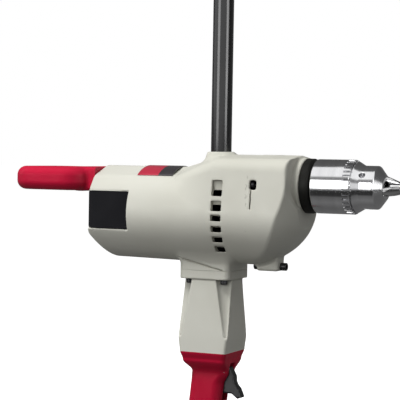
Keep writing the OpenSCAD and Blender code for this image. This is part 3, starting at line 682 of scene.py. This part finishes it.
def gear_case():
    def field(x, y, z):
        solid = gear_case_outside(x, y, z)
        inner = np.maximum(body_section(x, y, z), nose_shape(x, y, z)) + SHELL
        solid = np.maximum(solid, -np.maximum(inner, x - 104))
        return np.maximum(solid, -np.maximum(np.hypot(y, z) - 26, 90 - x))

    case_low, case_high = design_box("gear_case")
    part = skin(field, (SEAM_X, case_low[1], case_low[2]),
                (COLLAR_LOW[0], case_high[1], case_high[2]), 1.3,
                [(0, SEAM_X, 1), (0, COLLAR_LOW[0], -1)])
    piece("gear_case_skin", part, FINISHES["cast_paint"], "frame", ["gear_case"])


def handle_adapter():
    low, high = design_box("handle_adapter")

    def field(x, y, z):
        bulge = between(z, [-216.0, -197.0, -122.0], [0.0, 2.0, 0.0])
        lean = np.clip((z + 197) / 75, 0, 1)
        body = rectangle(x, y, (-31 - bulge, -33 + 1.5 * lean),
                         (34 + bulge + lean, 33 - 1.5 * lean), 3.5)
        body = round_max(body, z + 117, 2)
        flange = rectangle(x, y, (-33, -33), (37, 33), 7)
        flange = round_max(flange, -122 - z, 1.2)
        flute = 1e9
        for corner_x in (-31, 34.5):
            reach = np.hypot(x - corner_x, np.abs(y) - 33)
            radius = 16 - 13.5 * np.clip((-122 - z) / 75, 0, 1)
            flute = np.minimum(flute, (reach - radius) * 0.98)
        flute = round_max(round_max(flute, z + 121.5, 1), -197 - z, 3)
        return np.minimum(round_max(body, -flute, 1), np.maximum(flange, z - high[2] - 4))

    part = skin(field, low, high, 1.2, [(2, low[2], 1), (2, high[2], -1)])
    piece("handle_adapter_skin", part, FINISHES["cast_paint"], "frame",
          ["handle_adapter"])


# ---------------------------------------------------------------- grips and handles


def grip_outside(x, y, z):
    top, end = GRIP_HIGH[2], GRIP_LOW[2]
    stations = [top - 42.0, top - 27.0, top - 10.5, top]
    leaned = 12 * np.clip((top - 27.0 - z) / (top - 27.0 - end), 0, 1)
    low_x = between(z, stations, [-22.0, -22.0, -28.5, -31.0]) - leaned
    high_x = between(z, stations, [24.0, 28.8, 31.5, 34.0]) - leaned
    half_y = between(z, stations, [19.5, 19.0, 30.0, 33.0])
    corner = between(z, stations, [13.0, 11.0, 5.0, 5.0])
    d = rectangle(x, y, (low_x, -half_y), (high_x, half_y), corner) * 0.9
    return round_max(d, end - z, 4)


def grip_half(name, side):
    low, high = design_box(name)

    def field(x, y, z):
        d = grip_outside(x, y, z)
        slot = rectangle(x, z, (8, -279), (60, -231), 2)
        d = round_max(d, -np.maximum(slot, np.abs(y) - 7.6), 0.8)
        room = np.maximum.reduce([np.abs(x + 1.5) - 14.5, np.abs(y) - 12, -328 - z])
        d = np.maximum(d, -room)
        d = np.maximum(d, -np.maximum(np.hypot(x + 3, z + 294) - 5.3, y + 8))
        for spot_x, spot_z in ((-22, -222), (25, -222), (-22, -300), (4, -336), (-27, -340)):
            d = np.maximum(d, -np.maximum(np.hypot(x - spot_x, z - spot_z) - 3.6, 12 - y))
        return np.maximum(d, -np.maximum(np.hypot(x + 11, y) - 7, z - (GRIP_LOW[2] + 20)))

    cut = (1, 0.0, -1) if side < 0 else (1, 0.1, 1)
    part = skin(field, low, high, 1.1, [cut, (2, high[2], -1)])
    piece(name + "_skin", part, FINISHES["red_plastic"], "frame", [name])


def trigger():
    outline = [(19, -236), (28.5, -236), (34, -246), (46, -274), (40, -276), (32, -270), (15, -270),
               (15, -246)]

    def field(x, y, z):
        d = round_max(polygon(x, z, outline), 14 - np.hypot(x - 49, z + 251), 1)
        return round_max(d, np.abs(y) - 6.9, 2.2)

    low, high = design_box("trigger")
    part = skin(field, low, high, 0.7)
    piece("trigger_skin", part, FINISHES["black_plastic"], "trigger", ["trigger"])


def spade_handle():
    half = SPADE_HIGH[1]
    middle_z = (SPADE_LOW[2] + SPADE_HIGH[2]) / 2
    half_z = (SPADE_HIGH[2] - SPADE_LOW[2]) / 2

    def field(x, y, z):
        outer = rectangle(x, y, (SPADE_LOW[0], -half), (-166, half), 30)
        inner = rectangle(x, y, (SPADE_LOW[0] + 28, -half + 24), (-190, half - 24), 16)
        loop = round_max(np.maximum(outer, -inner), np.abs(z - middle_z) - half_z, 12)
        neck = rectangle(x, y, (-196, -37), (REAR_X + 8, 37), 6)
        neck = round_max(neck, np.abs(z - middle_z) - half_z, 5)
        d = round_min(loop, np.maximum(neck, -inner), 3)
        for spot in (-26, 26):
            hole = np.maximum(np.hypot(y - spot, z + 4.5) - 5, x + 170)
            d = round_max(d, -np.maximum(hole, -216 - x), 0.8)
        return d

    part = skin(field, SPADE_LOW, SPADE_HIGH, 1.2, [(0, REAR_X, -1)])
    piece("spade_handle_skin", part, FINISHES["red_plastic"], "frame",
          ["spade_handle"])


def pipe_handle():
    low, high = design_box("pipe_handle")
    r = (high[0] - low[0]) / 2
    profile = soften([(low[2], r - 2.8), (low[2], r), (high[2], r), (high[2], r - 2.8)], 0.8)
    part = aimed(lathe(profile, 128, closed=True), "z", (PIPE_X, 0, 0))
    piece("pipe_handle_tube", part, FINISHES["black_enamel"], "frame",
          ["pipe_handle"], outward=True)
    cap_low, cap_high = design_box("pipe_cap")
    skirt = cap_high[2] - 4
    profile = soften([(cap_low[2], 0), (cap_low[2], r - 3), (skirt, r - 3), (skirt, r - 0.6),
                      (cap_high[2], r - 0.6),
                      (cap_high[2], 0)], 1.6)
    part = aimed(lathe(profile, 96), "z", (PIPE_X, 0, 0))
    piece("pipe_end_cap", part, FINISHES["black_rubber"], "frame", ["pipe_cap"],
          outward=True)


def cord_gland():
    low, high = design_box("cord_gland")
    middle = (low[0] + high[0]) / 2
    seat = GRIP_LOW[2]
    profile = soften([(high[2], 4.2), (high[2], 6.8), (seat, 6.8), (seat, 9), (low[2], 9),
                      (low[2], 4.2)], 0.9)
    part = aimed(lathe(profile, 64, closed=True), "z", (middle, 0, 0))
    piece("cord_gland_ring", part, FINISHES["black_rubber"], "frame",
          ["cord_gland"], outward=True)


def lock_button():
    low, high = design_box("lock_button")
    at = (low + high) / 2
    profile = [(low[1], 0), (low[1], 2.2), (low[1] + 0.35, 3.4), (low[1] + 0.9, 4.3),
               (low[1] + 1.8, 4.9),
               (low[1] + 2.6, 5.0), (high[1], 5.0), (high[1], 0)]
    part = aimed(lathe(profile, 48), "y", (at[0], 0, at[2]))
    piece("lock_button_cap", part, FINISHES["black_plastic"], "lock_button",
          ["lock_button"],
          outward=True)


# ---------------------------------------------------------------- plates


def nameplates():
    """A thin plate with round corners on each flat of the rear end."""
    low, high = design_box("nameplate")
    x0, x1, z0, z1, r = low[0], high[0], low[2], high[2], 2.5
    outline = []
    for cx, cz, start in ((x1 - r, z1 - r, 0), (x0 + r, z1 - r, 90), (x0 + r, z0 + r, 180),
                          (x1 - r, z0 + r, 270)):
        for a in range(0, 91, 15):
            turn = math.radians(start + a)
            outline.append((cx + r * math.cos(turn), cz + r * math.sin(turn)))
    parts = []
    n = len(outline)
    for side in (-1, 1):
        levels = [(FLAT_Y, 0), (FLAT_Y + 0.75, 0), (FLAT_Y + 1, 0.25)]
        centre = ((x0 + x1) / 2, (z0 + z1) / 2)
        points = []
        for y, inset in levels:
            for x, z in outline:
                dx, dz = x - centre[0], z - centre[1]
                points.append((x - inset * np.sign(dx), side * y, z - inset * np.sign(dz)))
        faces = [[k * n + i, k * n + (i + 1) % n, (k + 1) * n + (i + 1) % n, (k + 1) * n + i]
                 for k in range(2) for i in range(n)]
        faces += [list(range(n)), list(range(2 * n, 3 * n))]
        parts.append((np.array(points, float), faces))
    piece("name_plates", joined(parts), FINISHES["label_black"], "frame",
          ["nameplate"], sharp=20,
          outward=True)


def badge():
    """A curved plate over the top of the barrel."""
    low, high = design_box("badge")
    inner, outer = BARREL_REAR_R + 1.4, high[2] - MOTOR_Z
    half = math.asin(high[1] / outer)
    xs = np.concatenate([[low[0], low[0] + 0.6], np.linspace(low[0] + 4, high[0] - 4, 10),
                         [high[0] - 0.6, high[0]]])
    angles = np.linspace(-half, half, 49)
    points, faces = [], []
    for radius in (outer, inner):
        for x in xs:
            for a in angles:
                edge = min(x - low[0], high[0] - x, (half - abs(a)) * outer)
                r = radius - (max(0, 0.35 - edge) if radius == outer else 0)
                points.append((x, r * math.sin(a), MOTOR_Z + r * math.cos(a)))
    nx, na = len(xs), len(angles)
    for k in range(2):
        for i in range(nx - 1):
            for j in range(na - 1):
                a = k * nx * na + i * na + j
                faces.append([a, a + 1, a + na + 1, a + na])
    for i in range(nx - 1):
        for j in (0, na - 1):
            a, b = i * na + j, (i + nx) * na + j
            faces.append([a, a + na, b + na, b])
    for j in range(na - 1):
        for i in (0, nx - 1):
            a, b = i * na + j, (i + nx) * na + j
            faces.append([a, a + 1, b + 1, b])
    piece("badge_plate", (np.array(points), faces), FINISHES["badge_red"], "frame",
          ["badge"], outward=True)


# ---------------------------------------------------------------- chuck


def front_collar():
    x0, x1, r = COLLAR_LOW[0], COLLAR_HIGH[0], COLLAR_HIGH[1]
    profile = soften([(x0, 15), (x0, r), (x1 - 3, r), (x1, r - 3), (x1, 15)], 0.7)
    piece("front_collar_ring", lathe(profile, 128, closed=True), FINISHES["collar_black"], "frame",
          ["front_collar"], outward=True)


def chuck_sleeve():
    """The sleeve, with the key's teeth cut into its front end."""
    teeth, per_tooth = 36, 8
    x0, x1 = SLEEVE_LOW[0], SLEEVE_HIGH[0]
    tooth_x = x1 - 9
    r, bore = SLEEVE_R, 31.2
    outside = [(x0, r - 1.5), (x0 + 2, r), (tooth_x - 0.6, r)]
    toothed = [(tooth_x, r), (tooth_x + 0.8, r), (x1 - 1, r), (x1, r - 0.8)]
    profile = soften([(x0, bore), *outside], 0.6)[:-1] + [outside[-1]] + toothed + [(x1, bore)]
    first_toothed = len(profile) - 1 - len(toothed) + 1

    def shape(ring, angle):
        if not first_toothed <= ring < len(profile) - 1:
            return np.ones_like(angle)
        phase = (angle * teeth / (2 * math.pi)) % 1
        gap = np.clip((0.24 - np.abs(phase - 0.5)) / 0.10, 0, 1)
        return 1 - gap * 2.2 / r

    part = lathe(profile, teeth * per_tooth, shape, closed=True)
    piece("chuck_sleeve_turned", part, FINISHES["bright_steel"], "chuck_sleeve",
          ["chuck_sleeve"],
          sharp=25, outward=True)


def chuck_body():
    """The body, bored for the spindle and the jaws, with three key holes in its nose."""
    nose_x0 = SLEEVE_HIGH[0] + 0.3
    slope = math.radians(12)

    def outline(x, r):
        barrel = np.maximum(r - 30.7, np.maximum(143.5 - x, x - nose_x0 - 2))
        cone = round_max((r - (33 - 6 * (x - nose_x0) / 10.2)) * 0.86, nose_x0 + 1.2 - x, 0.6)
        nose = np.maximum(r - 27, 200 - x)
        head = np.where(x < 205.0, cone, nose)
        front = (r - (27 - 12.5 * (x - 223) / 10)) * 0.62
        head = round_max(round_max(head, front, 0.8), x - NOSE_END_X, 0.8)
        return np.minimum(barrel, head)

    def field(x, y, z):
        r = np.hypot(y, z)
        d = outline(x, r)
        waist = np.maximum(22.5 - r, np.abs(x - 180.25) - 4.65)
        d = np.maximum(d, -waist)
        d = np.maximum(d, -np.maximum(r - 9.52, x - 164.2))
        d = np.maximum(d, -(r - 4))
        d = round_max(d, -np.maximum(r - 9.8, 176 - x), 0.6)
        for k in range(3):
            turn = math.radians(85 + 120 * k)
            out = y * math.cos(turn) + z * math.sin(turn)
            across = -y * math.sin(turn) + z * math.cos(turn)
            along = 5.4 + (251 - x) * math.tan(slope)
            way = np.hypot((out - along) * math.cos(slope), across) - 5.3
            d = np.maximum(d, -way)
            turn += math.pi / 3
            out = y * math.cos(turn) + z * math.sin(turn)
            across = -y * math.sin(turn) + z * math.cos(turn)
            hole = np.maximum(np.hypot(x - 208, across) - 3.8, 14 - out)
            d = round_max(d, -hole, 0.5)
        return d

    low, high = design_box("chuck_body")
    part = skin(field, low, high, 0.8, [(0, low[0], 1)])
    piece("chuck_body_turned", part, FINISHES["bright_steel"], "spindle",
          ["chuck_body"], sharp=30)


# ---------------------------------------------------------------- screws


def socket_screw(head_r, height, socket, depth, turns=36):
    """A screw head drawn along +x with its top at x = 0 and a six-sided socket of that width."""
    profile = [(-depth, 0), (-depth, socket / 2), (-0.15, socket / 2), (0, socket / 2 + 0.3)]
    profile += soften([(0, socket / 2 + 0.35), (0, head_r), (-height, head_r), (-height, 0)], 0.7,
                      3)[1:]

    def shape(ring, angle):
        if ring in (1, 2, 3):
            return 1 / np.cos((angle + math.pi / 6) % (math.pi / 3) - math.pi / 6)
        return np.ones_like(angle)

    return lathe(profile, turns, shape)


def shank(radius, length):
    return lathe(soften([(-length, 0), (-length, radius), (0.3, radius), (0.3, 0)], 0.5, 2), 24)


DIRECTIONS = {"x": (1, 0, 0), "-x": (-1, 0, 0), "y": (0, 1, 0), "-z": (0, 0, -1)}
CAP_SCREW_RING = 42
CAP_SCREW_ANGLES = (30, 150, 193, 347)
SPADE_SCREW_SPOTS = [(-26, -4.5), (26, -4.5)]                                     # y, z
ADAPTER_SCREW_SPOTS = [(x, y) for x in (-22, 26) for y in (-22, 22)]
GRIP_SCREW_SPOTS = [(-22, -222), (25, -222), (-22, -300), (4, -336), (-27, -340)]  # x, z


def screws(name, node, spots, axis, head_r, height, socket, length, slot, head_at):
    """Socket screws at the spots; head_at is the level of the heads' tops along the axis."""
    parts = []
    for spot in spots:
        at = {"x": (head_at, *spot), "-x": (head_at, *spot), "y": (spot[0], head_at, spot[1]),
              "-z": (*spot, head_at)}[axis]
        parts.append(aimed(socket_screw(head_r, height, socket, height * 0.6), axis, at))
        under = np.array(at, float) - height * np.array(DIRECTIONS[axis])
        parts.append(aimed(shank(head_r * 0.5, length), axis, under))
    piece(name, joined(parts), FINISHES[slot], "frame", [node], sharp=35, outward=True)


def all_screws():
    angles = [math.radians(a) for a in CAP_SCREW_ANGLES]
    cap_spots = [(CAP_SCREW_RING * math.cos(a), MOTOR_Z + CAP_SCREW_RING * math.sin(a))
                 for a in angles]
    screws("rear_cap_screw_set", "rear_cap_screws", cap_spots, "-x", 4.2, 2.2, 4, 12, "black_steel",
           REAR_X - 2.2)
    screws("spade_screw_set", "spade_screws", SPADE_SCREW_SPOTS, "-x", 4.6, 4, 5, 18, "black_steel",
           -174)
    low, high = design_box("case_screws")
    screws("case_screw_set", "case_screws", [(low[1] + 4.4, 1), (high[1] - 4.4, 1)], "x", 4.4, 5, 5,
           26, "black_steel",
           high[0])
    screws("adapter_screw_set", "adapter_screws", ADAPTER_SCREW_SPOTS, "-z", 4.6, 5, 5, 24,
           "black_steel", -128)
    heads = design_box("grip_screws")[1][1]
    screws("grip_screw_set", "grip_screws", GRIP_SCREW_SPOTS, "y", 3.4, heads - 12, 3, 22, "steel",
           heads)
    low, high = design_box("foot_bolts")
    at = (0, 0, (low[2] + high[2]) / 2)
    head = socket_screw(5, 8, 5.4, 3.6)
    nut = lathe(soften([(low[0], 0), (low[0], 5), (LUG_LOW[0], 5), (LUG_LOW[0], 0)], 0.5), 36)
    rod = lathe([(LUG_LOW[0] - 1, 0), (LUG_LOW[0] - 1, 2.5), (LUG_HIGH[0] + 1, 2.5),
                 (LUG_HIGH[0] + 1, 0)], 24)
    parts = [aimed(head, "x", (high[0], 0, at[2])), aimed(nut, "x", at), aimed(rod, "x", at)]
    piece("foot_bolt_and_nut", joined(parts), FINISHES["black_steel"], "frame",
          ["foot_bolts"],
          sharp=35, outward=True)


# ---------------------------------------------------------------- stage

KEY_POWER = 62
FRONT_POWER = 9


def floor():
    """A pale sheet of paper under the object, seen and shadowed but left out of its reflections."""
    level, size = CAD_LOW.z - 0.002, 30.0
    mesh = bpy.data.meshes.new("floor")
    mesh.from_pydata([(-size, -size, level), (size, -size, level), (size, size, level),
                      (-size, size, level)],
                     [], [(0, 1, 2, 3)])
    mesh.materials.append(studio_white("paper"))
    made = bpy.data.objects.new("floor", mesh)
    made.visible_glossy = False
    made.visible_diffuse = False
    bpy.context.scene.collection.objects.link(made)


def area_light(name, at, target, size, power):
    light = bpy.data.lights.new(name, "AREA")
    light.shape = "RECTANGLE"
    light.size, light.size_y = size
    light.energy = power
    made = bpy.data.objects.new(name, light)
    made.location = at
    made.rotation_euler = (Vector(target) - Vector(at)).to_track_quat("-Z", "Y").to_euler()
    made.visible_glossy = False
    bpy.context.scene.collection.objects.link(made)


# Brightness that polished parts reflect, by the angle round the spindle's direction: 0 degrees
# faces the camera side, 90 is straight up.
ROUND_SPINDLE = ((-180, 0.16), (-100, 0.14), (-70, 0.20), (-45, 0.14), (-38, 0.04), (-16, 0.035),
                 (-10, 0.5),
                 (-4, 0.95), (21, 0.95), (26, 0.30), (40, 0.28), (46, 1.25), (90, 1.2), (97, 0.14),
                 (150, 0.10),
                 (180, 0.16))
SOFT_BOXES = ((-24, 13, 3.4), (72, 12, 3.8))     # azimuth, half width in degrees, and brightness
AMBIENT = ((-1.0, 0.12), (-0.3, 0.14), (0.0, 0.26), (0.4, 0.42),
           (1.0, 0.5))   # by the height of the direction


class Studio:
    """The world: white behind the object, soft light on it, and soft boxes in its reflections."""

    def __init__(self):
        self.world = bpy.data.worlds.new("studio")
        self.world.use_nodes = True
        self.tree = self.world.node_tree
        split = self.node("ShaderNodeSeparateXYZ")
        self.tree.links.new(self.node("ShaderNodeTexCoord").outputs["Generated"], split.inputs[0])
        self.x, self.y, self.z = split.outputs
        back = self.math("MULTIPLY", self.y, -1.0)
        glossy = self.ramp(self.math("ARCTAN2", self.z, back), ROUND_SPINDLE, math.radians(1))
        azimuth = self.math("ARCTAN2", self.x, back)
        for middle, half, level in SOFT_BOXES:
            beside = self.math("COMPARE", azimuth, math.radians(middle), math.radians(half))
            low = self.math("COMPARE", self.z, 0.16, 0.26)
            glossy = self.math("ADD", glossy,
                               self.math("MULTIPLY", self.math("MULTIPLY", beside, low), level))
        ambient = self.ramp(self.z, AMBIENT, 1)
        path = self.node("ShaderNodeLightPath").outputs
        lit = self.either(path["Is Glossy Ray"], ambient, glossy)
        seen = self.either(path["Is Camera Ray"], lit, None)
        self.tree.links.new(seen, self.tree.nodes["Background"].inputs["Strength"])
        self.tree.nodes["Background"].inputs["Color"].default_value = (1, 1, 1, 1)
        bpy.context.scene.world = self.world

    def node(self, kind, **values):
        made = self.tree.nodes.new(kind)
        for key, value in values.items():
            setattr(made, key, value)
        return made

    def math(self, operation, *values):
        made = self.node("ShaderNodeMath", operation=operation)
        for socket, value in zip(made.inputs, values):
            if isinstance(value, (int, float)):
                socket.default_value = value
            else:
                self.tree.links.new(value, socket)
        return made.outputs[0]

    def ramp(self, value, stops, unit):
        """Brightness along the stops, whose places are in the given unit."""
        low, high = stops[0][0] * unit, stops[-1][0] * unit
        place_in = self.math("DIVIDE", self.math("SUBTRACT", value, low), high - low)
        made = self.node("ShaderNodeValToRGB")
        elements = made.color_ramp.elements
        while len(elements) < len(stops):
            elements.new(0.5)
        for element, (at, level) in zip(elements, stops):
            element.position = (at * unit - low) / (high - low)
            element.color = (level, level, level, 1)
        self.tree.links.new(place_in, made.inputs[0])
        return made.outputs[0]

    def either(self, choice, otherwise, chosen):
        made = self.node("ShaderNodeMix", data_type="FLOAT")
        self.tree.links.new(choice, made.inputs["Factor"])
        self.tree.links.new(otherwise, made.inputs[2])
        if chosen is None:
            made.inputs[3].default_value = 1.0
        else:
            self.tree.links.new(chosen, made.inputs[3])
        return made.outputs[0]


def lights():
    Studio()
    centre = (-0.25, 0, -0.03)
    area_light("key", (-1.0, -1.2, 2.2), centre, (1.1, 0.8), KEY_POWER)
    area_light("front", (-0.9, -1.9, 0.45), centre, (0.8, 0.8), FRONT_POWER)


def camera():
    """The photograph's view: from the front left, almost level."""
    azimuth, elevation, distance = math.radians(25), math.radians(1.8), 1.95
    target = Vector(place((-20.0, 0.0, -22.0)))
    back = Vector((math.sin(azimuth) * math.cos(elevation),
                   -math.cos(azimuth) * math.cos(elevation),
                   math.sin(elevation)))
    data = bpy.data.cameras.new("camera")
    data.sensor_width = 36
    data.lens = 135
    made = bpy.data.objects.new("camera", data)
    made.location = target + back * distance
    roll = math.radians(1.0)
    tilt = Vector((0, 1, 0)).rotation_difference(Vector((-math.sin(roll), math.cos(roll), 0)))
    made.rotation_mode = "QUATERNION"
    made.rotation_quaternion = (-back).to_track_quat("-Z", "Y") @ tilt
    bpy.context.scene.collection.objects.link(made)
    bpy.context.scene.camera = made


camera()
dress_cad_nodes()
motor_housing()
gear_case()
handle_adapter()
grip_half("grip_left", -1)
grip_half("grip_right", 1)
trigger()
spade_handle()
pipe_handle()
cord_gland()
lock_button()
nameplates()
badge()
front_collar()
chuck_sleeve()
chuck_body()
all_screws()
floor()
lights()
bpy.context.scene.view_settings.view_transform = "Standard"
